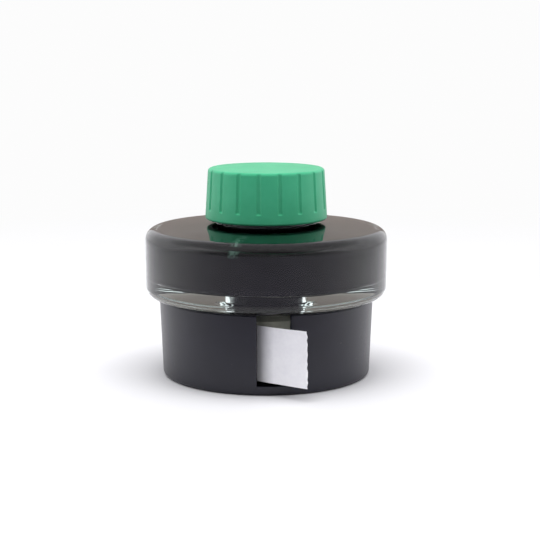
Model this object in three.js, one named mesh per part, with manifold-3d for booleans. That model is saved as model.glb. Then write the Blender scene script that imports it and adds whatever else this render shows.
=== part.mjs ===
// Desk inkwell: a wide glass bottle with a screw cap. It sits on a moulded base
// that holds a roll of blotting paper, whose free end comes out of a window.
// Millimetres, +Z up. The origin is the centre of the base's underside, the
// window faces -Y and +X is to the right of it.
import * as THREE from 'three';
import { mergeVertices } from 'three/addons/utils/BufferGeometryUtils.js';
import Module from 'manifold-3d';

const wasm = await Module();
wasm.setup();

// Shared
const degree = Math.PI / 180;
const aroundSteps = 40;
const fitGap = 0.2;

// Base
const baseHeight = 25.1;
const baseTopRadius = 34.65;
const baseFootRadius = 33.6;
const baseWall = 1.5;
const baseFloor = 2.2;
const footRound = 1.4;
const hubOuter = 11.3;
const hubInner = 9.7;
const hubHeight = 21.9;
const hubStepRadius = 15;
const hubStepHeight = 4.1;
const windowLeft = -2.9;
const windowRight = 7.35;
const windowSill = 2.95;
const windowRound = 0.8;

// Blotting paper
const coreInner = 11.6;
const coreWall = 0.8;
const rollOuter = 26.6;
const stripBottom = 4.3;
const stripWidth = 17.4;
const stripThickness = 0.4;
const stripAngle = -35.5 * degree;
const stripPulledOut = 33.7;
const stripTornSlant = 0.6;
const stripSpare = 14.5;

// Glass bottle
const glassRadius = 39;
const glassUnderside = 25.3;
const heelFootRadius = 35.5;
const heelCornerHeight = 26.9;
const heelRound = 3.4;
const shoulderRound = 3.8;
const glassWall = 3.6;
const glassFloor = 31;
const glassRoofSlope = Math.tan(4.4 * degree);
const neckRootHeight = 49.2;
const neckRadius = 16.2;
const neckBore = 13.6;
const mouthHeight = 64.1;
const sumpRadius = 9;
const sumpBore = 5.9;
const sumpFoot = 6.2;
const sumpWall = 3;
const sumpWaist = 22.1;
const funnelRadius = 12.2;
const funnelBore = 8.9;

// Ink
const inkLevel = 47.6;
const inkGap = 0.1;

// Cap
const capRim = 50.5;
const capTop = 66.86;
const capRimRadius = 19.67;
const capTopRadius = 18.69;
const capEdgeRound = 1.1;
const capRoof = 1.5;
const capBore = 17.9;
const gripGrooves = 18;
const gripFirstAngle = -97 * degree;
const gripCutRadius = 0.93;
const gripDepth = 0.42;
const gripFoot = 54.4;
const linerRadius = 17.4;
const linerThickness = 1;

// Screw thread shared by the neck and the cap
const threadPitch = 4.2;
const threadTurns = 1.25;
const threadStart = 54.2;
const neckThreadCentre = 16.3;
const neckThreadRadius = 1.05;
const capThreadCentre = 17.75;
const capThreadRadius = 0.8;

function material(color, roughness, metalness = 0) {
  return new THREE.MeshStandardMaterial({ color, roughness, metalness });
}

// Turns corners [r, z, round] into points, with a true arc at each rounded one.
function roundedCorners(corners, closed) {
  const count = corners.length;
  const points = [];
  corners.forEach(([r, z, round = 0], i) => {
    const corner = new THREE.Vector2(r, z);
    if (round === 0) {
      points.push(corner);
      return;
    }
    const before = corners[(i - 1 + count) % count];
    const after = corners[(i + 1) % count];
    const toBefore = new THREE.Vector2(before[0] - r, before[1] - z).normalize();
    const toAfter = new THREE.Vector2(after[0] - r, after[1] - z).normalize();
    const halfAngle = Math.acos(toBefore.dot(toAfter)) / 2;
    const toCentre = toBefore.clone().add(toAfter).setLength(round / Math.sin(halfAngle));
    const centre = corner.clone().add(toCentre);
    const leftHand = toBefore.cross(toAfter) > 0 ? -1 : 1;
    const start = toBefore.multiplyScalar(round / Math.tan(halfAngle)).add(corner).sub(centre);
    const turn = Math.PI - 2 * halfAngle;
    const steps = Math.max(2, Math.ceil(turn / (31 * degree)));
    for (let step = 0; step <= steps; step += 1) {
      const angle = leftHand * turn * step / steps;
      points.push(start.clone().rotateAround(new THREE.Vector2(), angle).add(centre));
    }
  });
  if (closed) {
    points.push(points[0].clone());
  }
  return points;
}

// A turned shape: the outline [r, z] revolved about the Z axis.
function turned(corners, closed = false) {
  const geometry = new THREE.LatheGeometry(roundedCorners(corners, closed), aroundSteps);
  return geometry.rotateX(Math.PI / 2);
}

function asSolid(geometry) {
  const bare = geometry.index ? geometry.toNonIndexed() : geometry.clone();
  bare.deleteAttribute('normal');
  bare.deleteAttribute('uv');
  const merged = mergeVertices(bare, 1e-4);
  return new wasm.Manifold(new wasm.Mesh({
    numProp: 3,
    vertProperties: merged.attributes.position.array,
    triVerts: new Uint32Array(merged.index.array),
  }));
}

function asGeometry(solid) {
  const mesh = solid.getMesh();
  const geometry = new THREE.BufferGeometry();
  geometry.setAttribute('position', new THREE.BufferAttribute(mesh.vertProperties, 3));
  geometry.setIndex(new THREE.BufferAttribute(mesh.triVerts, 1));
  geometry.computeVertexNormals();
  return geometry;
}

function named(name, geometry, look) {
  const mesh = new THREE.Mesh(geometry, look);
  mesh.name = name;
  return mesh;
}

// A right-hand screw line about the Z axis.
class ScrewLine extends THREE.Curve {
  constructor(radius, startHeight, startAngle) {
    super();
    this.radius = radius;
    this.startHeight = startHeight;
    this.startAngle = startAngle;
  }

  getPoint(t) {
    const turn = t * threadTurns;
    const angle = this.startAngle + turn * 2 * Math.PI;
    const height = this.startHeight + turn * threadPitch;
    return new THREE.Vector3(this.radius * Math.cos(angle), this.radius * Math.sin(angle), height);
  }
}

// A round bead laid along a screw line.
function threadBead(centreRadius, beadRadius, startHeight, startAngle) {
  const section = new THREE.Shape();
  section.absarc(0, 0, beadRadius, 0, 2 * Math.PI);
  return new THREE.ExtrudeGeometry(section, {
    extrudePath: new ScrewLine(centreRadius, startHeight, startAngle),
    steps: Math.round(aroundSteps * threadTurns),
    curveSegments: 3,
  });
}

// One moulding: floor, drafted wall, and the hub that the roll turns on.
function baseHousing() {
  const shell = asSolid(turned([
    [0, 0],
    [baseFootRadius, 0, footRound],
    [baseTopRadius, baseHeight, 0.4],
    [baseTopRadius - baseWall, baseHeight],
    [baseFootRadius - baseWall, baseFloor, 1],
    [hubStepRadius, baseFloor],
    [hubStepRadius, hubStepHeight],
    [hubOuter, hubStepHeight],
    [hubOuter, hubHeight],
    [hubInner, hubHeight],
    [hubInner, baseFloor],
    [0, baseFloor],
  ]));
  return asGeometry(shell.subtract(asSolid(windowCutter())));
}

// The window's outline, drawn looking at the front and pushed through the wall.
function windowCutter() {
  const left = windowLeft;
  const right = windowRight;
  const sill = windowSill;
  const above = baseHeight + 5;
  const outline = new THREE.Shape();
  outline.moveTo(left, above);
  outline.lineTo(left, sill + windowRound);
  outline.absarc(left + windowRound, sill + windowRound, windowRound, Math.PI, 1.5 * Math.PI);
  outline.lineTo(right - windowRound, sill);
  outline.absarc(right - windowRound, sill + windowRound, windowRound, 1.5 * Math.PI, 2 * Math.PI);
  outline.lineTo(right, above);
  const depth = 12;
  const cutter = new THREE.ExtrudeGeometry(outline, { depth, bevelEnabled: false, curveSegments: 4 });
  return cutter.rotateX(Math.PI / 2).translate(0, depth - baseTopRadius - 4, 0);
}

function rollCore() {
  const top = stripBottom + stripWidth;
  return turned([
    [coreInner, stripBottom],
    [coreInner + coreWall, stripBottom],
    [coreInner + coreWall, top],
    [coreInner, top],
  ], true);
}

function paperRoll() {
  const inner = coreInner + coreWall + 0.1;
  const top = stripBottom + stripWidth;
  return turned([
    [inner, stripBottom],
    [rollOuter, stripBottom],
    [rollOuter, top],
    [inner, top],
  ], true);
}

// The strip's free end, straight along +X from its tangent point on the roll.
// Its spare length lies behind that point and its far end is torn off.
function paperTongue() {
  const tip = stripPulledOut;
  const outline = new THREE.Shape();
  outline.moveTo(-stripSpare, 0);
  outline.lineTo(tip + stripTornSlant, 0);
  outline.quadraticCurveTo(tip + stripTornSlant, stripWidth * 0.6, tip, stripWidth);
  outline.lineTo(-stripSpare, stripWidth);
  outline.closePath();
  const depth = stripThickness;
  const strip = new THREE.ExtrudeGeometry(outline, { depth, bevelEnabled: false, curveSegments: 6 });
  return strip.rotateX(Math.PI / 2);
}

// The height of the bottle's sloping roof above a point at radius r.
function roofAt(r) {
  return neckRootHeight - (r - neckRadius) * glassRoofSlope;
}

// The bottle's cavity from the neck's foot down to the sump's centre.
// A gap draws the same outline that much smaller, for the ink.
function cavityOutline(gap) {
  const bore = neckBore - gap;
  const wall = glassRadius - glassWall - gap;
  const funnel = funnelBore - gap;
  const sump = sumpBore - gap;
  return [
    [bore, roofAt(neckBore) - glassWall - gap, 1.5 + gap],
    [wall, roofAt(glassRadius - glassWall) - glassWall - gap, 2.4 - gap],
    [wall, glassFloor + gap, 2.5 - gap],
    [funnel, glassFloor - 0.8 + gap, 1.5 + gap],
    [funnel, sumpWaist + 3.5, 1],
    [sump, sumpWaist + 0.5, 1],
    [sump, sumpFoot + sumpWall + gap, 1.5 - gap],
    [0, sumpFoot + sumpWall + gap],
  ];
}

// The hollow glass: sump and its funnel, thick floor, heel, wall, shoulder, sloping roof, neck.
function glassBottle() {
  const vessel = asSolid(turned([
    [0, sumpFoot],
    [sumpRadius, sumpFoot, 2],
    [sumpRadius, sumpWaist, 0.6],
    [funnelRadius, glassUnderside, 0.8],
    [heelFootRadius, glassUnderside, 0.7],
    [glassRadius, heelCornerHeight, heelRound],
    [glassRadius, roofAt(glassRadius), shoulderRound],
    [neckRadius, neckRootHeight, 1],
    [neckRadius, mouthHeight, 0.9],
    [neckBore, mouthHeight, 0.7],
    ...cavityOutline(0),
  ]));
  const thread = threadBead(neckThreadCentre, neckThreadRadius, threadStart, 0);
  return asGeometry(vessel.add(asSolid(thread)));
}

// The ink fills the cavity up into the neck's foot, a hair inside the glass.
function inkFill() {
  const outline = [[0, inkLevel], [neckBore - inkGap, inkLevel], ...cavityOutline(inkGap)];
  return turned(outline.reverse());
}

// The cap's drafted cup with its inside thread, before the grip is cut.
function capCup() {
  const ceiling = capTop - capRoof;
  const cup = asSolid(turned([
    [capBore, capRim],
    [capRimRadius, capRim, 0.5],
    [capTopRadius, capTop, capEdgeRound],
    [0, capTop],
    [0, ceiling],
    [capBore, ceiling],
  ], true));
  const thread = threadBead(capThreadCentre, capThreadRadius, threadStart - threadPitch / 2, 0);
  return cup.add(asSolid(thread));
}

// One grip groove: a round-ended bar leaning with the wall's draft.
function gripCutter(angle) {
  const draft = Math.atan((capRimRadius - capTopRadius) / (capTop - capRim));
  const footRadius = capRimRadius - (gripFoot - capRim) * Math.tan(draft);
  const length = 20;
  const bar = new THREE.CapsuleGeometry(gripCutRadius, length, 2, 10);
  bar.translate(0, length / 2, 0).rotateX(Math.PI / 2);
  bar.rotateY(-draft).translate(footRadius + gripCutRadius - gripDepth, 0, gripFoot);
  return bar.rotateZ(angle);
}

function capShell() {
  let cap = capCup();
  for (let groove = 0; groove < gripGrooves; groove += 1) {
    const angle = gripFirstAngle + groove * 360 * degree / gripGrooves;
    cap = cap.subtract(asSolid(gripCutter(angle)));
  }
  return asGeometry(cap);
}

function capLiner() {
  const top = capTop - capRoof - fitGap / 4;
  return turned([
    [0, top - linerThickness],
    [linerRadius, top - linerThickness],
    [linerRadius, top],
    [0, top],
  ]);
}

const blackPlastic = material(0x2a282d, 0.55);
const clearGlass = material(0xb9c4c4, 0.05);
const ink = material(0x101214, 0.1);
const greenPlastic = material(0x3f9266, 0.4);
const palePlastic = material(0xe6e6e0, 0.7);
const blottingPaper = material(0xe4e4e6, 0.95);
const greyCard = material(0xb9b2a4, 0.9);

// The tongue's own X axis is turned to its direction, tangent to the roll.
const tongue = named('paper_tongue', paperTongue(), blottingPaper);
const tangentRadius = rollOuter + fitGap;
tongue.rotation.z = stripAngle;
tongue.position.set(
  tangentRadius * Math.sin(stripAngle),
  -tangentRadius * Math.cos(stripAngle),
  stripBottom,
);

const paperSupply = new THREE.Group();
paperSupply.add(named('roll_core', rollCore(), greyCard));
paperSupply.add(named('paper_roll', paperRoll(), blottingPaper));
paperSupply.add(tongue);

const bottle = new THREE.Group();
bottle.add(named('glass_bottle', glassBottle(), clearGlass));
bottle.add(named('ink_fill', inkFill(), ink));

const cap = new THREE.Group();
cap.add(named('cap_shell', capShell(), greenPlastic));
cap.add(named('cap_liner', capLiner(), palePlastic));

const inkwell = new THREE.Group();
inkwell.add(named('base_housing', baseHousing(), blackPlastic));
inkwell.add(paperSupply, bottle, cap);

export default inkwell;
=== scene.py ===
import math
import random
import bpy
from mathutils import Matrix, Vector


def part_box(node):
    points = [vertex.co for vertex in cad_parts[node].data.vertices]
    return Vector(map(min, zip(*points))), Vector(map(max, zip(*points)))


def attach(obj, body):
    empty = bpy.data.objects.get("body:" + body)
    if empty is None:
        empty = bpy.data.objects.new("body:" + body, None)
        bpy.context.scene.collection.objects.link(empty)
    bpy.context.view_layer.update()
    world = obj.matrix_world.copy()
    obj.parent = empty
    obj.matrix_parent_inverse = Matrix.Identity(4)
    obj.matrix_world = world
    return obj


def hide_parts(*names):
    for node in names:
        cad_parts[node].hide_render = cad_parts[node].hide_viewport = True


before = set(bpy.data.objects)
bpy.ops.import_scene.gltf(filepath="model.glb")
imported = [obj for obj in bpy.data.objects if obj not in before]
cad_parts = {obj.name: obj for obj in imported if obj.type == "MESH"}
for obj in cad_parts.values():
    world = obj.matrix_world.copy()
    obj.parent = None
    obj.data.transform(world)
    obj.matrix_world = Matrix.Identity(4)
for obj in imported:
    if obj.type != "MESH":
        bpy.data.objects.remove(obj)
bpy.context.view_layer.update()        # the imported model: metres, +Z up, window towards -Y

mm = 0.001
fullTurn = 2 * math.pi
print("frame loaded:", sorted(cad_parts))


def hexLinear(text, alpha=1.0):        # "#3fa97a" to the linear values that shaders want
    parts = [int(text[i:i + 2], 16) / 255 for i in (1, 3, 5)]
    linear = [c / 12.92 if c <= 0.04045 else ((c + 0.055) / 1.055) ** 2.4 for c in parts]
    return (*linear, alpha)


def addNode(tree, kind, settings=None, inputs=None):
    # an input is a number or colour, a socket, or a node whose first output is meant
    node = tree.nodes.new(kind)
    for name, value in (settings or {}).items():
        if name == "stops":        # a ramp's stops: place along it, colour
            band = node.color_ramp
            while len(band.elements) < len(value):
                band.elements.new(0.5)
            for element, (position, colour) in zip(band.elements, value):
                element.position = position
                element.color = colour
        else:
            setattr(node, name, value)
    for socket, value in (inputs or {}).items():
        if isinstance(value, bpy.types.Node):
            value = value.outputs[0]
        if isinstance(value, bpy.types.NodeSocket):
            tree.links.new(value, node.inputs[socket])
        else:
            node.inputs[socket].default_value = value
    return node


def startMaterial(name, values):        # values that are the same all over go straight on the shader
    material = bpy.data.materials.new(name)
    material.use_nodes = True
    tree = material.node_tree
    shader = tree.nodes["Principled BSDF"]
    for socket, value in values.items():
        shader.inputs[socket].default_value = value
    place = addNode(tree, "ShaderNodeTexCoord").outputs["Object"]
    return material, tree, shader, place


def objectMode():
    if bpy.context.mode != "OBJECT":
        bpy.ops.object.mode_set(mode="OBJECT")


def deselectAll():
    objectMode()
    bpy.ops.object.select_all(action="DESELECT")


def pick(piece):
    deselectAll()
    piece.select_set(True)
    bpy.context.view_layer.objects.active = piece


def editMode(kind="VERT"):
    bpy.ops.object.mode_set(mode="EDIT")
    bpy.ops.mesh.select_mode(type=kind)


def selectIn(piece, kind, wanted):        # leaves edit mode on, with only what wanted says selected
    pick(piece)
    editMode(kind)
    bpy.ops.mesh.select_all(action="DESELECT")
    objectMode()
    mesh = piece.data
    if kind == "VERT":
        for vertex in mesh.vertices:
            vertex.select = wanted(vertex.co)
    elif kind == "FACE":
        for face in mesh.polygons:
            face.select = wanted(face.center)
    else:
        for edge in mesh.edges:
            edge.select = wanted(*(mesh.vertices[v].co for v in edge.vertices))
    bpy.ops.object.mode_set(mode="EDIT")


def applyModifier(piece, kind, **settings):
    pick(piece)
    modifier = piece.modifiers.new(kind.title(), kind)
    for name, value in settings.items():
        setattr(modifier, name, value)
    bpy.ops.object.modifier_apply(modifier=modifier.name)


def joinSolid(piece, other):        # one closed skin round both, and the other piece is gone
    applyModifier(piece, "BOOLEAN", operation="UNION", solver="EXACT", object=other)
    bpy.data.objects.remove(other)


def roundedCorners(corners, stepDeg, closed):
    # corners (r, z, round) in mm become points, with an arc of that radius at each rounded one
    points = []
    for i, (r, z, radius) in enumerate(corners):
        here = Vector((r, z))
        if not radius:
            points.append(here)
            continue
        toBefore = (Vector(corners[i - 1][:2]) - here).normalized()
        toAfter = (Vector(corners[(i + 1) % len(corners)][:2]) - here).normalized()
        half = toBefore.angle(toAfter) / 2
        centre = here + (toBefore + toAfter).normalized() * radius / math.sin(half)
        start = here + toBefore * radius / math.tan(half) - centre
        turn = math.pi - 2 * half
        side = -1 if toBefore.cross(toAfter) > 0 else 1
        steps = max(2, math.ceil(math.degrees(turn) / stepDeg))
        for step in range(steps + 1):
            c, s = math.cos(side * turn * step / steps), math.sin(side * turn * step / steps)
            points.append(centre + Vector((start.x * c - start.y * s, start.x * s + start.y * c)))
    return points + [points[0].copy()] if closed else points


def turnOnLathe(name, corners, sectors, startDeg=0.0, stepDeg=9, closed=False):
    # one vertex is pulled along the outline, and the outline is spun through the sectors
    # (degrees, steps) one after the other, from startDeg right of the front
    out = Vector((math.sin(math.radians(startDeg)), -math.cos(math.radians(startDeg)), 0))
    points = roundedCorners(corners, stepDeg, closed)
    route = [out * p.x * mm + Vector((0, 0, p.y * mm)) for p in points]
    deselectAll()
    bpy.ops.mesh.primitive_plane_add(size=mm)
    piece = bpy.context.object
    piece.name = name
    editMode("VERT")
    bpy.ops.mesh.select_all(action="SELECT")
    bpy.ops.mesh.merge(type="CENTER")
    bpy.ops.transform.translate(value=route[0])
    for before, after in zip(route, route[1:]):
        bpy.ops.mesh.extrude_vertices_move(TRANSFORM_OT_translate={"value": after - before})
    bpy.ops.mesh.select_all(action="SELECT")
    for degrees, steps in sectors:
        bpy.ops.mesh.spin(steps=steps, angle=math.radians(degrees), center=(0, 0, 0), axis=(0, 0, 1))
    bpy.ops.mesh.select_all(action="SELECT")
    bpy.ops.mesh.remove_doubles(threshold=0.0005 * mm)
    bpy.ops.mesh.normals_make_consistent(inside=False)
    objectMode()
    return piece


def aroundDeg(co):        # degrees round the axis, 0 at the front and + to the right
    return math.degrees(math.atan2(co.x, -co.y))


def finishPiece(piece, material, body, node, smoothDeg=32):
    pick(piece)
    bpy.ops.object.shade_smooth_by_angle(angle=math.radians(smoothDeg))
    piece.data.materials.clear()
    piece.data.materials.append(material)
    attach(piece, body)
    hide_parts(node)
    print("made", piece.name, "with", len(piece.data.polygons), "faces")
    return piece


def boxMm(node):        # low and high corners of a CAD node, in mm
    low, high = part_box(node)
    return low / mm, high / mm


baseLow, baseHigh = boxMm("base_housing")
glassLow, glassHigh = boxMm("glass_bottle")
inkLow, inkHigh = boxMm("ink_fill")
capLow, capHigh = boxMm("cap_shell")
linerLow, linerHigh = boxMm("cap_liner")
coreLow, coreHigh = boxMm("roll_core")
rollLow, rollHigh = boxMm("paper_roll")
stripLow, stripHigh = boxMm("paper_tongue")


# the screw thread is the same on neck and cap
screwThread = {"pitch": 4.2, "turns": 1.25, "start": 54.2, "fadeDeg": 28, "sides": 16, "stepsPerTurn": 144}


def threadBead(name, centre, bead, start, sinkBy):
    # a round bead wound up the wall, whose ends sink into it by sinkBy mm
    turns = screwThread["turns"]
    steps = round(screwThread["stepsPerTurn"] * turns)
    rise = screwThread["pitch"] * turns
    deselectAll()
    bpy.ops.mesh.primitive_circle_add(vertices=screwThread["sides"], radius=bead * mm,
                                      location=(centre * mm, 0, start * mm),
                                      rotation=(math.pi / 2, 0, 0))
    piece = bpy.context.object
    piece.name = name
    bpy.ops.object.transform_apply(location=True, rotation=True, scale=True)
    applyModifier(piece, "SCREW", axis="Z", angle=fullTurn * turns, iterations=1, steps=steps,
                  render_steps=steps, screw_offset=rise * mm, use_merge_vertices=False)
    editMode("EDGE")
    bpy.ops.mesh.select_all(action="DESELECT")
    bpy.ops.mesh.select_non_manifold(use_wire=False, use_boundary=True, use_multi_face=False,
                                     use_non_contiguous=False, use_verts=False)
    bpy.ops.mesh.edge_face_add()
    bpy.ops.mesh.select_all(action="SELECT")
    bpy.ops.mesh.normals_make_consistent(inside=False)
    objectMode()
    fade = math.radians(screwThread["fadeDeg"])
    for vertex in piece.data.vertices:        # the ring a vertex is on tells how far along it is
        co = vertex.co
        along = math.atan2(co.y, co.x) % fullTurn
        height = co.z / mm - start
        turnsUp = round(height / screwThread["pitch"] - along / fullTurn)
        travel = along + turnsUp * fullTurn
        left = min(travel, fullTurn * turns - travel)
        if left < fade:
            inward = Vector((co.x, co.y, 0)).normalized()
            vertex.co = co - inward * sinkBy * mm * (1 - math.sin(left / fade * math.pi / 2))
    return piece


bottleGlass = {
    "wall": 3.6, "floor": 31.0, "underside": 25.3, "heelFootRadius": 35.5, "heelCorner": 26.9,
    "heelRound": 3.4, "roofSlopeDeg": 4.4, "shoulderRound": 3.8, "neckRoot": 49.2,
    "neckRadius": 16.2, "neckBore": 13.6, "sumpRadius": 9.0, "sumpBore": 5.9, "sumpWall": 3.0,
    "sumpWaist": 22.1, "funnelRadius": 10.6, "funnelBore": 8.9,
    "threadCentre": 16.3, "threadBead": 1.05,
    "seamDeg": -16.0, "seamHeight": 0.16, "seamHalfDeg": 0.45, "unevenInside": 0.14,
    "inkFilm": 4.2,        # the ink clings to the neck's bore that far above its level
}


def roofAt(r):
    g = bottleGlass
    return g["neckRoot"] - (r - g["neckRadius"]) * math.tan(math.radians(g["roofSlopeDeg"]))


def cavityOutline(gap):        # neck's foot, ceiling, wall, floor and sump, smaller by the gap for the ink
    g = bottleGlass
    wallRadius = glassHigh.x - g["wall"]
    foot = glassLow.z + g["sumpWall"]
    return [
        (g["neckBore"] - gap, roofAt(g["neckBore"]) - g["wall"] - gap, 1.5 + gap),
        (wallRadius - gap, roofAt(wallRadius) - g["wall"] - gap, 2.4 - gap),
        (wallRadius - gap, g["floor"] + gap, 2.5 - gap),
        (g["funnelBore"] - gap, g["floor"] - 0.8 + gap, 1.5 + gap),
        (g["funnelBore"] - gap, g["sumpWaist"] + 3.5, 1.0),
        (g["sumpBore"] - gap, g["sumpWaist"] + 0.5, 1.0),
        (g["sumpBore"] - gap, foot + gap, 1.5 - gap),
        (0, foot + gap, 0),
    ]


def glassOutline():
    g = bottleGlass
    radius = glassHigh.x
    mouth = glassHigh.z
    return [
        (0, glassLow.z, 0),
        (g["sumpRadius"], glassLow.z, 2.0),
        (g["sumpRadius"], g["sumpWaist"], 0.6),
        (g["funnelRadius"], g["underside"], 0.8),
        (g["heelFootRadius"], g["underside"], 1.8),
        (radius, g["heelCorner"], g["heelRound"]),
        (radius, roofAt(radius), g["shoulderRound"]),
        (g["neckRadius"], g["neckRoot"], 1.0),
        (g["neckRadius"], mouth, 0.9),
        (g["neckBore"], mouth, 0.7),
        (g["neckBore"], inkHigh.z + g["inkFilm"], 0),        # the ink wets all below this ring
        *cavityOutline(0),
    ]


def isWetted(co):        # true on the cavity's faces that the ink touches
    g = bottleGlass
    r, z = math.hypot(co.x, co.y) / mm, co.z / mm
    if z > inkHigh.z + g["inkFilm"] - 0.01 or r > glassHigh.x - g["wall"] + 0.4:
        return False
    if r > g["neckBore"] + 0.5 and z > roofAt(r) - 1.5:
        return False
    if z < g["floor"] - 2.2 and r > g["sumpBore"] + 1 + max(0.0, min(z - g["sumpWaist"], 3.2)):
        return False
    return z > glassLow.z + g["sumpWall"] - 0.5


def swellInside(co):        # blown and pressed glass is never even inside, and the ink follows it
    size = bottleGlass["unevenInside"]
    r, z = math.hypot(co.x, co.y) / mm, co.z / mm
    angle = math.atan2(co.y, co.x)
    around = math.sin(7 * angle + 0.6 * z) + 0.6 * math.sin(13 * angle - 0.9 * z + 2)
    upright = math.sin(5 * angle + 0.35 * r) + 0.7 * math.sin(0.8 * r - 3 * angle)
    share = min(1.0, r / 4)
    co.xy = co.xy * (1 + size * 0.5 * around * share / max(r, 1))
    co.z += size * 0.4 * upright * share * mm


def raiseMouldSeams(piece):        # the two lines where the mould's halves met, proud of the outside
    g = bottleGlass
    for vertex in piece.data.vertices:
        co = vertex.co
        r = math.hypot(co.x, co.y) / mm
        outside = r > g["neckRadius"] and co.z / mm > g["underside"] - 0.2
        if not outside or isWetted(co):
            continue
        for seamDeg in (g["seamDeg"], g["seamDeg"] + 180):
            away = (aroundDeg(co) - seamDeg + 180) % 360 - 180
            lift = g["seamHeight"] * math.exp(-(away / g["seamHalfDeg"]) ** 2)
            co.xy = co.xy * (1 + lift / r)


def makeGlassBottle():
    g = bottleGlass
    fine = (4, 24)        # the seam's own stretch has narrow columns
    coarse = (176, 108)
    piece = turnOnLathe("glassBottle", glassOutline(), (fine, coarse, fine, coarse), g["seamDeg"] - 2)
    raiseMouldSeams(piece)
    thread = threadBead("neckThread", g["threadCentre"], g["threadBead"], screwThread["start"], 1.15)
    joinSolid(piece, thread)
    finishPiece(piece, mouldedFlintGlass(), "bottle", "glass_bottle", 40)
    piece.data.materials.append(wettedFlintGlass())
    for face in piece.data.polygons:
        face.material_index = 1 if isWetted(face.center) else 0
    for vertex in piece.data.vertices:
        if isWetted(vertex.co):
            swellInside(vertex.co)
    return piece


def makeInk():        # its sides and floor lie against the glass, its level stands in the neck's foot
    gap = 0.1
    bore = bottleGlass["neckBore"] - gap
    corners = [
        (0, inkHigh.z, 0),
        (bore - 0.9, inkHigh.z, 0.6),        # the level, then its edge and a film up the wall
        (bore - 0.2, inkHigh.z + bottleGlass["inkFilm"], 0),
        (bore, inkHigh.z + bottleGlass["inkFilm"], 0),
        *cavityOutline(gap),
    ]
    piece = turnOnLathe("inkFill", corners, ((360, 180),))
    finishPiece(piece, fountainInk(), "bottle", "ink_fill", 40)
    piece.data.materials.append(inkBehindGlass())
    for face in piece.data.polygons:
        face.material_index = 1 if face.center.z / mm < inkHigh.z - 0.01 else 0
    for vertex in piece.data.vertices:
        if isWetted(vertex.co):
            swellInside(vertex.co)
    return piece


screwCap = {
    "rimRadius": 19.67, "topRadius": 18.69, "edgeRound": 1.1, "rimRound": 0.7, "roof": 1.5, "bore": 17.9,
    "threadCentre": 17.75, "threadBead": 0.8,
    "grooves": 18, "firstGrooveDeg": -7.0, "grooveHalfDeg": 2.3, "grooveDepth": 0.42, "grooveFoot": 54.5,
}


def capWallAt(z):        # the drafted side's radius at a height
    c = screwCap
    share = (z - capLow.z) / (capHigh.z - capLow.z)
    return c["rimRadius"] + (c["topRadius"] - c["rimRadius"]) * share


def capOutline():
    c = screwCap
    ceiling = capHigh.z - c["roof"]
    lowest = c["grooveFoot"] - 1.2
    rows = [lowest + 0.1 * step for step in range(15)]        # close rows, where the grooves end
    return [
        (0, ceiling, 0),
        (c["bore"], ceiling, 0.6),
        (c["bore"], capLow.z, 0.3),
        (c["rimRadius"], capLow.z, c["rimRound"]),
        *((capWallAt(z), z, 0) for z in rows),
        (c["topRadius"], capHigh.z, c["edgeRound"]),
        (0, capHigh.z, 0),
    ]


def pressGroove(co, grooveDeg):        # moves a point of the outside in to the round-ended groove
    c = screwCap
    away = (aroundDeg(co) - grooveDeg + 180) % 360 - 180
    if abs(away) >= c["grooveHalfDeg"] - 0.001:
        return
    r, z = math.hypot(co.x, co.y) / mm, co.z / mm
    wall = capWallAt(z)
    half = wall * math.radians(c["grooveHalfDeg"])
    cutRadius = (half ** 2 + c["grooveDepth"] ** 2) / (2 * c["grooveDepth"])
    distance = half * math.hypot(away / c["grooveHalfDeg"], min(0.0, z - c["grooveFoot"]) / half)
    if distance >= half:
        return
    depth = math.sqrt(cutRadius ** 2 - distance ** 2) - (cutRadius - c["grooveDepth"])
    if r > wall - depth and r > c["bore"] + 0.2:
        co.xy = co.xy * ((wall - depth) / r)


def makeCap():
    c = screwCap
    pitchDeg = 360 / c["grooves"]
    grooveDeg = 2 * c["grooveHalfDeg"]
    sectors = ((grooveDeg, 14), (pitchDeg - grooveDeg, 10)) * c["grooves"]
    piece = turnOnLathe("capShell", capOutline(), sectors, c["firstGrooveDeg"] - c["grooveHalfDeg"])
    for vertex in piece.data.vertices:
        nearest = round((aroundDeg(vertex.co) - c["firstGrooveDeg"]) / pitchDeg)
        pressGroove(vertex.co, c["firstGrooveDeg"] + nearest * pitchDeg)
    thread = threadBead("capThread", c["threadCentre"], c["threadBead"],
                        screwThread["start"] - screwThread["pitch"] / 2, -0.9)
    joinSolid(piece, thread)
    return finishPiece(piece, greenPolypropylene(), "cap", "cap_shell", 28)


def makeLiner():        # a foam disc with a pressed ring where the mouth seals
    ring = (bottleGlass["neckRadius"] + bottleGlass["neckBore"]) / 2
    corners = [
        (0, linerHigh.z, 0),
        (linerHigh.x, linerHigh.z, 0.15),
        (linerHigh.x, linerLow.z, 0.25),
        (ring + 0.9, linerLow.z, 0.3),
        (ring + 0.6, linerLow.z + 0.12, 0.2),
        (ring - 0.6, linerLow.z + 0.12, 0.2),
        (ring - 0.9, linerLow.z, 0.3),
        (0, linerLow.z, 0),
    ]
    piece = turnOnLathe("capLiner", corners, ((360, 120),), stepDeg=20)
    return finishPiece(piece, foamedPolyethylene(), "cap_seal", "cap_liner")


baseMoulding = {
    "footRadius": 33.6, "wall": 1.5, "floor": 2.2, "footRound": 1.4, "rimRound": 0.35,
    "hubOuter": 11.3, "hubInner": 9.7, "hubHeight": 21.9, "stepRadius": 15.0, "stepHeight": 4.1,
    "windowLeft": -2.9, "windowRight": 7.35, "sill": 2.95,
}


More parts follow.
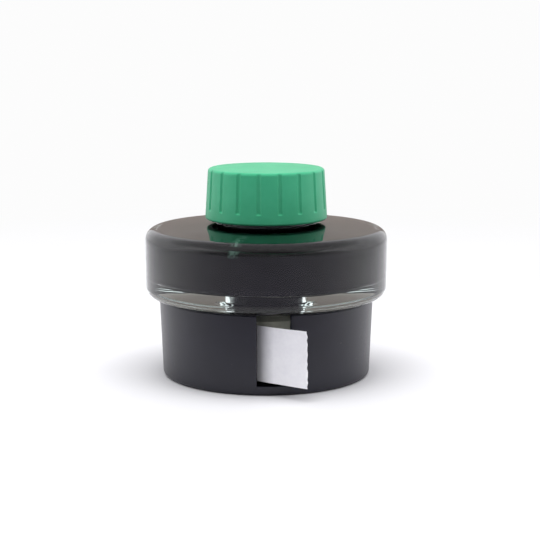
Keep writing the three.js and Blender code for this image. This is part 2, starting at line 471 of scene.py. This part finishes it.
def makeBase():
    b = baseMoulding
    topRadius = baseHigh.x
    top = baseHigh.z
    draft = (topRadius - b["footRadius"]) / top
    sillRadius = b["footRadius"] + draft * b["sill"]
    corners = [
        (0, 0, 0),
        (b["footRadius"], 0, b["footRound"]),
        (sillRadius, b["sill"], 0),
        (topRadius, top, b["rimRound"]),
        (topRadius - b["wall"], top, b["rimRound"]),
        (sillRadius - b["wall"], b["sill"], 0),
        (b["footRadius"] - b["wall"], b["floor"], 0.4),
        (b["stepRadius"], b["floor"], 0.3),
        (b["stepRadius"], b["stepHeight"], 0.2),
        (b["hubOuter"], b["stepHeight"], 0.2),
        (b["hubOuter"], b["hubHeight"], 0.3),
        (b["hubInner"], b["hubHeight"], 0.3),
        (b["hubInner"], b["floor"], 0.4),
        (0, b["floor"], 0),
    ]
    leftDeg = math.degrees(math.asin(b["windowLeft"] / sillRadius))
    rightDeg = math.degrees(math.asin(b["windowRight"] / sillRadius))
    windowDeg = rightDeg - leftDeg
    piece = turnOnLathe("baseHousing", corners, ((windowDeg, 12), (360 - windowDeg, 230)), leftDeg)
    cutWindow(piece, leftDeg, rightDeg)
    return finishPiece(piece, mouldedBlackAbs(), "base", "base_housing", 30)


def cutWindow(piece, leftDeg, rightDeg):
    # takes the wall's faces out and closes the left jamb; the sill and the right jamb stay open
    b = baseMoulding
    wallFrom = b["footRadius"] - b["wall"] - 0.5

    def inWindow(centre):
        r = math.hypot(centre.x, centre.y) / mm
        return r > wallFrom and centre.z / mm > b["sill"] and leftDeg < aroundDeg(centre) < rightDeg

    def onJamb(one, two):
        return all(abs(aroundDeg(co) - leftDeg) < 0.02 and math.hypot(co.x, co.y) / mm > wallFrom
                   and co.z / mm > b["sill"] - 0.01 for co in (one, two))

    selectIn(piece, "FACE", inWindow)
    bpy.ops.mesh.delete(type="FACE")
    selectIn(piece, "EDGE", onJamb)
    bpy.ops.mesh.edge_face_add()
    bpy.ops.mesh.select_all(action="SELECT")
    bpy.ops.mesh.normals_make_consistent(inside=False)
    objectMode()


blottingStrip = {
    "turnPitch": 0.47, "thickness": 0.36, "angleDeg": -35.5, "spare": 14.5,
    "tornWave": 0.3, "flatLength": 17.0, "curl": 0.0035, "buckle": 0.05,
}


def makeRollCore():
    corners = [
        (coreHigh.x, coreLow.z, 0.15),
        (coreHigh.x, coreHigh.z, 0.15),
        (coreHigh.x - 0.8, coreHigh.z, 0.15),
        (coreHigh.x - 0.8, coreLow.z, 0.15),
    ]
    piece = turnOnLathe("rollCore", corners, ((360, 120),), stepDeg=30, closed=True)
    return finishPiece(piece, woundGreyCard(), "roll", "roll_core")


def makePaperRoll():        # the strip really is wound: one ribbon from the core to the outer turn
    s = blottingStrip
    inner = coreHigh.x + 0.1 + s["thickness"]
    outer = rollHigh.x - s["thickness"] / 2
    turns = (outer - inner) / s["turnPitch"]
    endDeg = s["angleDeg"] - 90        # the outer turn ends where the straight part leaves
    stepsPerTurn = 72
    steps = round(turns * stepsPerTurn)
    curve = bpy.data.curves.new("paperRoll", "CURVE")
    curve.dimensions = "3D"
    line = curve.splines.new("POLY")
    line.points.add(steps)
    middle = (rollLow.z + rollHigh.z) / 2
    wobble = random.Random(5)
    drift = 0.0
    for i, point in enumerate(line.points):
        drift = drift * 0.97 + wobble.uniform(-1, 1) * 0.006        # turns never lie quite evenly
        r = inner + (outer - inner) * i / steps + drift
        angle = math.radians(endDeg) - fullTurn * (steps - i) / stepsPerTurn
        point.co = (r * math.cos(angle) * mm, r * math.sin(angle) * mm, middle * mm, 1)
    curve.extrude = (rollHigh.z - rollLow.z) / 2 * mm
    piece = bpy.data.objects.new("paperRoll", curve)
    bpy.context.scene.collection.objects.link(piece)
    pick(piece)
    bpy.ops.object.convert(target="MESH")
    piece = bpy.context.object
    applyModifier(piece, "SOLIDIFY", thickness=s["thickness"] * mm, offset=0, use_even_offset=True)
    # painted shade with a painted green cast: the roll's paper gets a darker, olive copy of the strip's
    # white
    paper = blottingPaper("shadedRollBlottingPaper", "#e4e5d2", "#f3f4e4")
    return finishPiece(piece, paper, "roll", "paper_roll")


def makePaperTongue():        # flat where it slides, then a slight curl towards the torn end
    s = blottingStrip
    direction = Vector((math.cos(math.radians(s["angleDeg"])), math.sin(math.radians(s["angleDeg"])), 0))
    outwards = Vector((direction.y, -direction.x, 0))
    height = stripHigh.z - stripLow.z
    tip = (stripHigh.x / direction.x) - (rollHigh.x + 0.4) * outwards.x / direction.x
    length = tip + s["spare"]
    columns, rows = 150, 52
    deselectAll()
    bpy.ops.mesh.primitive_grid_add(x_subdivisions=columns, y_subdivisions=rows, size=1)
    piece = bpy.context.object
    piece.name = "paperTongue"
    rng = random.Random(11)
    waves = [(rng.uniform(0.4, 4.5), rng.uniform(0, fullTurn), rng.uniform(0.05, 0.12)) for _ in range(12)]
    for vertex in piece.data.vertices:
        along, up = vertex.co.x + 0.5, vertex.co.y + 0.5
        upMm = up * height
        torn = sum(size * math.sin(upMm * pace + phase) for pace, phase, size in waves)
        end = length - 0.2 - 0.7 * up + s["tornWave"] * torn
        travel = along * end - s["spare"]
        out = (rollHigh.x + 0.2 + s["thickness"] / 2)
        free = max(0.0, travel - s["flatLength"])
        curl = s["curl"] * free ** 2 * (0.35 + 0.65 * up)
        curl += s["buckle"] * math.sin(travel * 0.55 + upMm * 0.2) * min(1, free / 5)
        co = direction * travel + outwards * (out - curl)
        vertex.co = co * mm + Vector((0, 0, (stripLow.z + upMm) * mm))
    applyModifier(piece, "SOLIDIFY", thickness=s["thickness"] * mm, offset=0)
    paper = blottingPaper("blottingPaper", "#f3f3f7", "#fdfdff")
    return finishPiece(piece, paper, "paper_strip", "paper_tongue", 40)


def mouldedFlintGlass():
    # soda-lime container glass, pressed in a mould: clear, faintly green through its thickness,
    # smooth but not quite flat, so reflections waver a little
    material, tree, shader, place = startMaterial("mouldedFlintGlass", {
        "Base Color": (1, 1, 1, 1), "Roughness": 0.0, "IOR": 1.52, "Transmission Weight": 1.0,
    })
    ripple = addNode(tree, "ShaderNodeTexNoise", None, {        # slow waves, 9 mm across
        "Vector": place, "Scale": 1 / (9 * mm), "Detail": 2.0, "Roughness": 0.55})
    waver = addNode(tree, "ShaderNodeBump", None, {"Height": ripple, "Distance": 0.018 * mm})
    tree.links.new(waver.outputs["Normal"], shader.inputs["Normal"])
    absorb = addNode(tree, "ShaderNodeVolumeAbsorption", None,
                     {"Color": (0.55, 0.93, 0.82, 1), "Density": 4.5})
    output = tree.nodes["Material Output"]
    tree.links.new(absorb.outputs["Volume"], output.inputs["Volume"])
    return material


def wettedFlintGlass():
    # the same glass where ink lies against it: the step from glass to water is small, so it turns
    # little light back straight on and all of it at a glance
    material, tree, shader, place = startMaterial("wettedFlintGlass", {
        "Base Color": (1, 1, 1, 1), "Roughness": 0.0, "IOR": 1.14, "Transmission Weight": 1.0,
    })
    ripple = addNode(tree, "ShaderNodeTexNoise", None, {        # rougher than the mould's side, 3 mm
        "Vector": place, "Scale": 1 / (3 * mm), "Detail": 3.0, "Roughness": 0.55})
    waver = addNode(tree, "ShaderNodeBump", None, {"Height": ripple, "Distance": 0.015 * mm})
    tree.links.new(waver.outputs["Normal"], shader.inputs["Normal"])
    return material


def fountainInk():
    # dye in water: so deep that it reads black, with a wet shine on its level
    material, tree, shader, place = startMaterial("fountainInk", {"Roughness": 0.02, "IOR": 1.33})
    depth = addNode(tree, "ShaderNodeTexNoise", None, {        # clouds of dye, 9 mm across
        "Vector": place, "Scale": 1 / (9 * mm), "Detail": 2.0, "Roughness": 0.55})
    stops = ((0.3, hexLinear("#07090b")), (0.7, hexLinear("#0c100f")))
    colour = addNode(tree, "ShaderNodeValToRGB", {"stops": stops}, {"Fac": depth})
    tree.links.new(colour.outputs["Color"], shader.inputs["Base Color"])
    return material


def inkBehindGlass():
    # the same ink seen through the glass it wets, which takes its shine away. Where the seam's
    # ridge crosses the shoulder, a painted pale green highlight stands in for the light the glass gathers
    # there
    material, tree, shader, place = startMaterial("inkBehindGlass", {
        "Roughness": 1.0, "IOR": 1.33, "Specular IOR Level": 0.0,
    })
    depth = addNode(tree, "ShaderNodeTexNoise", None, {        # clouds of dye, 9 mm across
        "Vector": place, "Scale": 1 / (9 * mm), "Detail": 2.0, "Roughness": 0.55})
    stops = ((0.3, hexLinear("#060508")), (0.7, hexLinear("#0b0a10")))
    colour = addNode(tree, "ShaderNodeValToRGB", {"stops": stops}, {"Fac": depth})
    seam = math.radians(bottleGlass["seamDeg"])
    across = addNode(tree, "ShaderNodeVectorMath", {"operation": "DOT_PRODUCT"},
                     {0: place, 1: (math.cos(seam), math.sin(seam), 0)})
    off = addNode(tree, "ShaderNodeMath", {"operation": "ABSOLUTE"}, {0: across.outputs["Value"]})
    parts = addNode(tree, "ShaderNodeSeparateXYZ", None, {0: place})
    out = addNode(tree, "ShaderNodeVectorMath", {"operation": "LENGTH"}, {0: place})
    highlightPatches = addNode(tree, "ShaderNodeTexNoise", None, {        # patches of the painted highlight, 1.6 mm across
        "Vector": place, "Scale": 1 / (1.6 * mm), "Detail": 4.0, "Roughness": 0.7})
    paintedHighlightLimits = (        # the painted highlight is within 2 mm of the seam's plane, high up, and near the rim
        (off, 1.9 * mm, 0.2 * mm),
        (parts.outputs["Z"], 42.6 * mm, 43.8 * mm),
        (out.outputs["Value"], 50 * mm, 54 * mm),
        (highlightPatches, 0.42, 0.6),
    )
    share = 1.0
    for value, none, full in paintedHighlightLimits:
        part = addNode(tree, "ShaderNodeMapRange", None,
                       {"Value": value, "From Min": none, "From Max": full})
        share = addNode(tree, "ShaderNodeMath", {"operation": "MULTIPLY"}, {0: share, 1: part})
    # painted highlight: a pale green mixed into the ink's colour where the seam crosses the shoulder
    mixed = addNode(tree, "ShaderNodeMix", {"data_type": "RGBA"},
                    {0: share, 6: colour, 7: hexLinear("#7fa596")})
    tree.links.new(mixed.outputs[2], shader.inputs["Base Color"])
    return material


def greenPolypropylene():
    # polypropylene, injection moulded from a satin tool: milky depth, a soft broad shine
    material, tree, shader, place = startMaterial("greenPolypropylene", {
        "IOR": 1.49, "Specular IOR Level": 0.3, "Subsurface Weight": 0.12,
        "Subsurface Radius": (0.6, 1.0, 0.8), "Subsurface Scale": 1.2 * mm,
    })
    flow = addNode(tree, "ShaderNodeTexNoise", None, {        # flow of the pigment, 7 mm across
        "Vector": place, "Scale": 1 / (7 * mm), "Detail": 3.0, "Roughness": 0.55})
    stops = ((0.3, hexLinear("#42b283")), (0.7, hexLinear("#4aba8b")))
    colour = addNode(tree, "ShaderNodeValToRGB", {"stops": stops}, {"Fac": flow})
    tree.links.new(colour.outputs["Color"], shader.inputs["Base Color"])
    satin = addNode(tree, "ShaderNodeTexNoise", None, {        # spark-eroded tool, 0.35 mm grain
        "Vector": place, "Scale": 1 / (0.35 * mm), "Detail": 2.0, "Roughness": 0.55})
    dull = addNode(tree, "ShaderNodeMapRange", None, {
        "Value": satin, "From Min": 0.3, "From Max": 0.7, "To Min": 0.34, "To Max": 0.46})
    tree.links.new(dull.outputs["Result"], shader.inputs["Roughness"])
    grain = addNode(tree, "ShaderNodeBump", None, {"Height": satin, "Distance": 0.006 * mm})
    tree.links.new(grain.outputs["Normal"], shader.inputs["Normal"])
    return material


def mouldedBlackAbs():
    # ABS, injection moulded from a lightly polished tool: black with a low sheen and settled dust
    material, tree, shader, place = startMaterial("mouldedBlackAbs", {
        "IOR": 1.54, "Specular IOR Level": 0.42,
    })
    tint = addNode(tree, "ShaderNodeTexNoise", None, {        # uneven tint, 11 mm across
        "Vector": place, "Scale": 1 / (11 * mm), "Detail": 3.0, "Roughness": 0.55})
    stops = ((0.3, hexLinear("#151520")), (0.7, hexLinear("#1a1a27")))
    black = addNode(tree, "ShaderNodeValToRGB", {"stops": stops}, {"Fac": tint})
    cells = addNode(tree, "ShaderNodeTexVoronoi", {"feature": "F1"}, {        # a cell each 2.6 mm
        "Vector": place, "Scale": 1 / (2.6 * mm), "Randomness": 1.0})
    speck = addNode(tree, "ShaderNodeMath", {"operation": "LESS_THAN"},
                    {0: cells.outputs["Distance"], 1: 0.03})
    chosen = addNode(tree, "ShaderNodeSeparateColor", None, {"Color": cells.outputs["Color"]})
    few = addNode(tree, "ShaderNodeMath", {"operation": "GREATER_THAN"},
                  {0: chosen.outputs["Red"], 1: 0.72})
    dust = addNode(tree, "ShaderNodeMath", {"operation": "MULTIPLY"}, {0: speck, 1: few})
    mixed = addNode(tree, "ShaderNodeMix", {"data_type": "RGBA"},
                    {0: dust, 6: black, 7: hexLinear("#8f8d8c")})
    tree.links.new(mixed.outputs[2], shader.inputs["Base Color"])
    tool = addNode(tree, "ShaderNodeTexNoise", None, {        # tool grain, 0.4 mm
        "Vector": place, "Scale": 1 / (0.4 * mm), "Detail": 3.0, "Roughness": 0.55})
    dull = addNode(tree, "ShaderNodeMapRange", None, {
        "Value": tool, "From Min": 0.3, "From Max": 0.7, "To Min": 0.3, "To Max": 0.42})
    tree.links.new(dull.outputs["Result"], shader.inputs["Roughness"])
    grain = addNode(tree, "ShaderNodeBump", None, {"Height": tool, "Distance": 0.004 * mm})
    tree.links.new(grain.outputs["Normal"], shader.inputs["Normal"])
    return material


def blottingPaper(name, low, high):
    # unsized cotton and wood pulp, felt-dried: matt, soft, with matted fibres and cloudy thickness.
    # Painted shade darkens its colour towards the left, where the window's side and the glass above shade
    # it
    material, tree, shader, place = startMaterial(name, {
        "Roughness": 0.95, "Specular IOR Level": 0.2, "Sheen Weight": 0.12, "Sheen Roughness": 0.6,
    })
    cloud = addNode(tree, "ShaderNodeTexNoise", None, {        # formation clouds, 3 mm across
        "Vector": place, "Scale": 1 / (3.2 * mm), "Detail": 4.0, "Roughness": 0.65})
    stops = ((0.3, hexLinear(low)), (0.7, hexLinear(high)))
    colour = addNode(tree, "ShaderNodeValToRGB", {"stops": stops}, {"Fac": cloud})
    parts = addNode(tree, "ShaderNodeSeparateXYZ", None, {0: place})
    paintedShadeFactor = addNode(tree, "ShaderNodeMapRange", None, {        # painted shade, gone again 2.4 mm right of the middle
        "Value": parts.outputs["X"], "From Min": -1.8 * mm, "From Max": 2.4 * mm, "To Min": 0.48})
    # painted shade: the paper's colour is scaled down towards the left
    paintedShadeColour = addNode(tree, "ShaderNodeVectorMath", {"operation": "SCALE"}, {0: colour, "Scale": paintedShadeFactor})
    tree.links.new(paintedShadeColour.outputs["Vector"], shader.inputs["Base Color"])
    fibre = addNode(tree, "ShaderNodeTexNoise", None, {        # fibres 0.3 mm across
        "Vector": place, "Scale": 1 / (0.28 * mm), "Detail": 6.0, "Roughness": 0.75})
    soft = addNode(tree, "ShaderNodeBump", None, {"Height": cloud, "Distance": 0.10 * mm})
    matted = addNode(tree, "ShaderNodeBump", None,
                     {"Height": fibre, "Distance": 0.05 * mm, "Normal": soft})
    tree.links.new(matted.outputs["Normal"], shader.inputs["Normal"])
    return material


def woundGreyCard():
    # recycled board, rolled and glued: grey-brown with darker flecks
    material, tree, shader, place = startMaterial("woundGreyCard", {"Roughness": 0.9})
    fleck = addNode(tree, "ShaderNodeTexNoise", None, {        # flecks 0.7 mm across
        "Vector": place, "Scale": 1 / (0.7 * mm), "Detail": 5.0, "Roughness": 0.7})
    stops = ((0.3, hexLinear("#8f8675")), (0.6, hexLinear("#b5ac9b")))
    colour = addNode(tree, "ShaderNodeValToRGB", {"stops": stops}, {"Fac": fleck})
    tree.links.new(colour.outputs["Color"], shader.inputs["Base Color"])
    rough = addNode(tree, "ShaderNodeBump", None, {"Height": fleck, "Distance": 0.05 * mm})
    tree.links.new(rough.outputs["Normal"], shader.inputs["Normal"])
    return material


def foamedPolyethylene():
    # closed-cell sheet, die cut: off-white with fine pores
    material, tree, shader, place = startMaterial("foamedPolyethylene", {"Roughness": 0.6})
    pore = addNode(tree, "ShaderNodeTexVoronoi", None, {        # pores 0.45 mm across
        "Vector": place, "Scale": 1 / (0.45 * mm)})
    stops = ((0.0, hexLinear("#cfcfc8")), (0.5, hexLinear("#ecece6")))
    colour = addNode(tree, "ShaderNodeValToRGB", {"stops": stops}, {"Fac": pore})
    tree.links.new(colour.outputs["Color"], shader.inputs["Base Color"])
    pitted = addNode(tree, "ShaderNodeBump", None, {"Height": pore, "Distance": 0.03 * mm})
    tree.links.new(pitted.outputs["Normal"], shader.inputs["Normal"])
    return material


def paleStudioFloor():
    # painted board, matt white, that runs out into the white behind. Only light and reflections
    # find a grey cloth on it: mid grey straight in front and lighter towards the sides, which
    # takes light off the fronts
    material, tree, shader, place = startMaterial("paleStudioFloor", {"Roughness": 0.7})
    cloud = addNode(tree, "ShaderNodeTexNoise", None, {        # rolled paint, 120 mm clouds
        "Vector": place, "Scale": 1 / (120 * mm), "Detail": 2.0, "Roughness": 0.55})
    stops = ((0.3, hexLinear("#e2e2e4")), (0.7, hexLinear("#e5e5e7")))
    pale = addNode(tree, "ShaderNodeValToRGB", {"stops": stops}, {"Fac": cloud})
    parts = addNode(tree, "ShaderNodeSeparateXYZ", None, {0: place})
    forward = addNode(tree, "ShaderNodeMath", {"operation": "MULTIPLY"}, {0: parts.outputs["Y"], 1: -1.0})
    far = addNode(tree, "ShaderNodeVectorMath", {"operation": "LENGTH"}, {0: place}).outputs["Value"]
    share = addNode(tree, "ShaderNodeMath", {"operation": "DIVIDE"}, {0: forward, 1: far})
    stops = ((0.0, hexLinear("#f2f2f4")), (0.38, hexLinear("#d4d3d9")),
             (0.7, hexLinear("#bbb9c2")), (1.0, hexLinear("#a5a2af")))
    grey = addNode(tree, "ShaderNodeValToRGB", {"stops": stops}, {"Fac": share})
    fade = addNode(tree, "ShaderNodeMapRange", None, {
        "Value": far, "From Min": studio["clothFromMm"] * mm, "From Max": studio["clothFullMm"] * mm})
    cloth = addNode(tree, "ShaderNodeMix", {"data_type": "RGBA"}, {0: fade, 6: pale, 7: grey})
    seen = addNode(tree, "ShaderNodeLightPath").outputs["Is Camera Ray"]
    both = addNode(tree, "ShaderNodeMix", {"data_type": "RGBA"},
                   {0: seen, 6: cloth.outputs[2], 7: pale})
    tree.links.new(both.outputs[2], shader.inputs["Base Color"])
    distant = addNode(tree, "ShaderNodeMapRange", None, {
        "Value": far, "From Min": studio["whiteFromMm"] * mm, "From Max": studio["whiteFullMm"] * mm})
    shown = addNode(tree, "ShaderNodeMath", {"operation": "MULTIPLY"}, {0: distant, 1: seen})
    white = addNode(tree, "ShaderNodeEmission", None,
                    {"Color": (1, 1, 1, 1), "Strength": studio["seenWhite"]})
    blend = addNode(tree, "ShaderNodeMixShader", None, {0: shown, 1: shader, 2: white})
    tree.links.new(blend.outputs["Shader"], tree.nodes["Material Output"].inputs["Surface"])
    return material


studio = {
    "floorMm": 6000, "worldBright": 1.22, "worldDark": 0.2, "worldTop": 0.65, "seenWhite": 0.975,
    "topSizeMm": 700, "topForwardMm": 120, "topHeightMm": 900, "topPower": 6.5,
    "cardRadiusMm": 53, "cardBackMm": 62,
    "clothFromMm": 45, "clothFullMm": 130, "whiteFromMm": 90, "whiteFullMm": 420,
}


def makeFloor():
    deselectAll()
    bpy.ops.mesh.primitive_plane_add(size=studio["floorMm"] * mm)
    floor = bpy.context.object
    floor.name = "studioFloor"
    editMode("EDGE")
    bpy.ops.mesh.subdivide(number_cuts=4)
    objectMode()
    floor.data.materials.append(paleStudioFloor())


def makeWorld():
    # a soft tent of light: bright behind and at the sides, dim in front, and less bright overhead
    world = bpy.data.worlds.new("softTent")
    bpy.context.scene.world = world
    world.use_nodes = True
    tree = world.node_tree
    tree.nodes.clear()
    way = addNode(tree, "ShaderNodeTexCoord").outputs["Generated"]
    facing = addNode(tree, "ShaderNodeVectorMath", {"operation": "DOT_PRODUCT"},
                     {0: way, 1: (0.0, 0.9, 0.44)})        # most towards the back and a little up
    light = addNode(tree, "ShaderNodeMapRange", None, {
        "Value": facing.outputs["Value"], "From Min": -0.5, "From Max": -0.04,
        "To Min": studio["worldDark"], "To Max": studio["worldBright"]})
    parts = addNode(tree, "ShaderNodeSeparateXYZ", None, {0: way})
    overhead = addNode(tree, "ShaderNodeMapRange", None, {
        "Value": parts.outputs["Z"], "From Min": 0.55, "From Max": 0.85,
        "To Min": 1.0, "To Max": studio["worldTop"]})
    strength = addNode(tree, "ShaderNodeMath", {"operation": "MULTIPLY"}, {0: light, 1: overhead})
    tent = addNode(tree, "ShaderNodeBackground", None,
                   {"Color": (0.975, 0.97, 1, 1), "Strength": strength})
    plain = addNode(tree, "ShaderNodeBackground", None,
                    {"Color": (1, 1, 1, 1), "Strength": studio["seenWhite"]})
    seen = addNode(tree, "ShaderNodeLightPath").outputs["Is Camera Ray"]
    both = addNode(tree, "ShaderNodeMixShader", None, {0: seen, 1: tent, 2: plain})
    addNode(tree, "ShaderNodeOutputWorld", None, {"Surface": both})


def makeLights():        # one softbox overhead, which shiny things don't mirror
    lamp = bpy.data.lights.new("topSoftbox", "AREA")
    lamp.shape = "RECTANGLE"
    lamp.size = studio["topSizeMm"] * mm
    lamp.size_y = studio["topSizeMm"] * 0.7 * mm
    lamp.energy = studio["topPower"]
    top = bpy.data.objects.new("topSoftbox", lamp)
    bpy.context.scene.collection.objects.link(top)
    top.location = (0, -studio["topForwardMm"] * mm, studio["topHeightMm"] * mm)
    top.visible_glossy = False
    top.visible_transmission = False


def stageCard(card, material):        # something that only lights and reflections know of
    card.name = material.name
    card.data.materials.append(material)
    card.visible_camera = False
    card.visible_shadow = False
    return card


def warmGreyCard():
    # matt display board, warm grey with painted shade darkening it towards its foot. Its own Y axis points
    # up once it stands
    material, tree, shader, place = startMaterial("warmGreyCard", {"Roughness": 0.9})
    parts = addNode(tree, "ShaderNodeSeparateXYZ", None, {0: place})
    radius = studio["cardRadiusMm"] * mm
    share = addNode(tree, "ShaderNodeMapRange", None, {
        "Value": parts.outputs["Y"], "From Min": -0.4 * radius, "From Max": 0.3 * radius})
    # painted shade: dark at the card's foot, pale towards its top
    stops = ((0.0, hexLinear("#83736c")), (1.0, hexLinear("#fbefe6")))
    toneAndPaintedShade = addNode(tree, "ShaderNodeValToRGB", {"stops": stops}, {"Fac": share})
    tree.links.new(toneAndPaintedShade.outputs["Color"], shader.inputs["Base Color"])
    return material


def makeReflectorCard():        # a round warm-grey card behind, which only the glass shows
    deselectAll()
    radius = studio["cardRadiusMm"]
    bpy.ops.mesh.primitive_circle_add(vertices=96, radius=radius * mm, fill_type="NGON",
                                      location=(1.2 * mm, studio["cardBackMm"] * mm, radius * mm),
                                      rotation=(math.pi / 2, 0, 0))
    card = stageCard(bpy.context.object, warmGreyCard())
    card.visible_diffuse = False


view = {"xMm": 1.22, "yMm": -464.62, "zMm": 112.74, "downDeg": 9.68, "lens": 96.67}


def makeCamera():
    data = bpy.data.cameras.new("benchCamera")
    data.lens = view["lens"]
    data.sensor_width = 36
    data.clip_start = 0.01
    data.clip_end = 50
    camera = bpy.data.objects.new("benchCamera", data)
    bpy.context.scene.collection.objects.link(camera)
    camera.location = (view["xMm"] * mm, view["yMm"] * mm, view["zMm"] * mm)
    camera.rotation_euler = (math.radians(90 - view["downDeg"]), 0, 0)
    bpy.context.scene.camera = camera


makeCamera()
makeFloor()
makeWorld()
makeLights()
makeReflectorCard()
print("studio set")
makeGlassBottle()
makeInk()
makeCap()
makeLiner()
makeBase()
makeRollCore()
makePaperRoll()
makePaperTongue()
bpy.context.scene.view_settings.view_transform = "Standard"
bpy.context.scene.view_settings.look = "None"
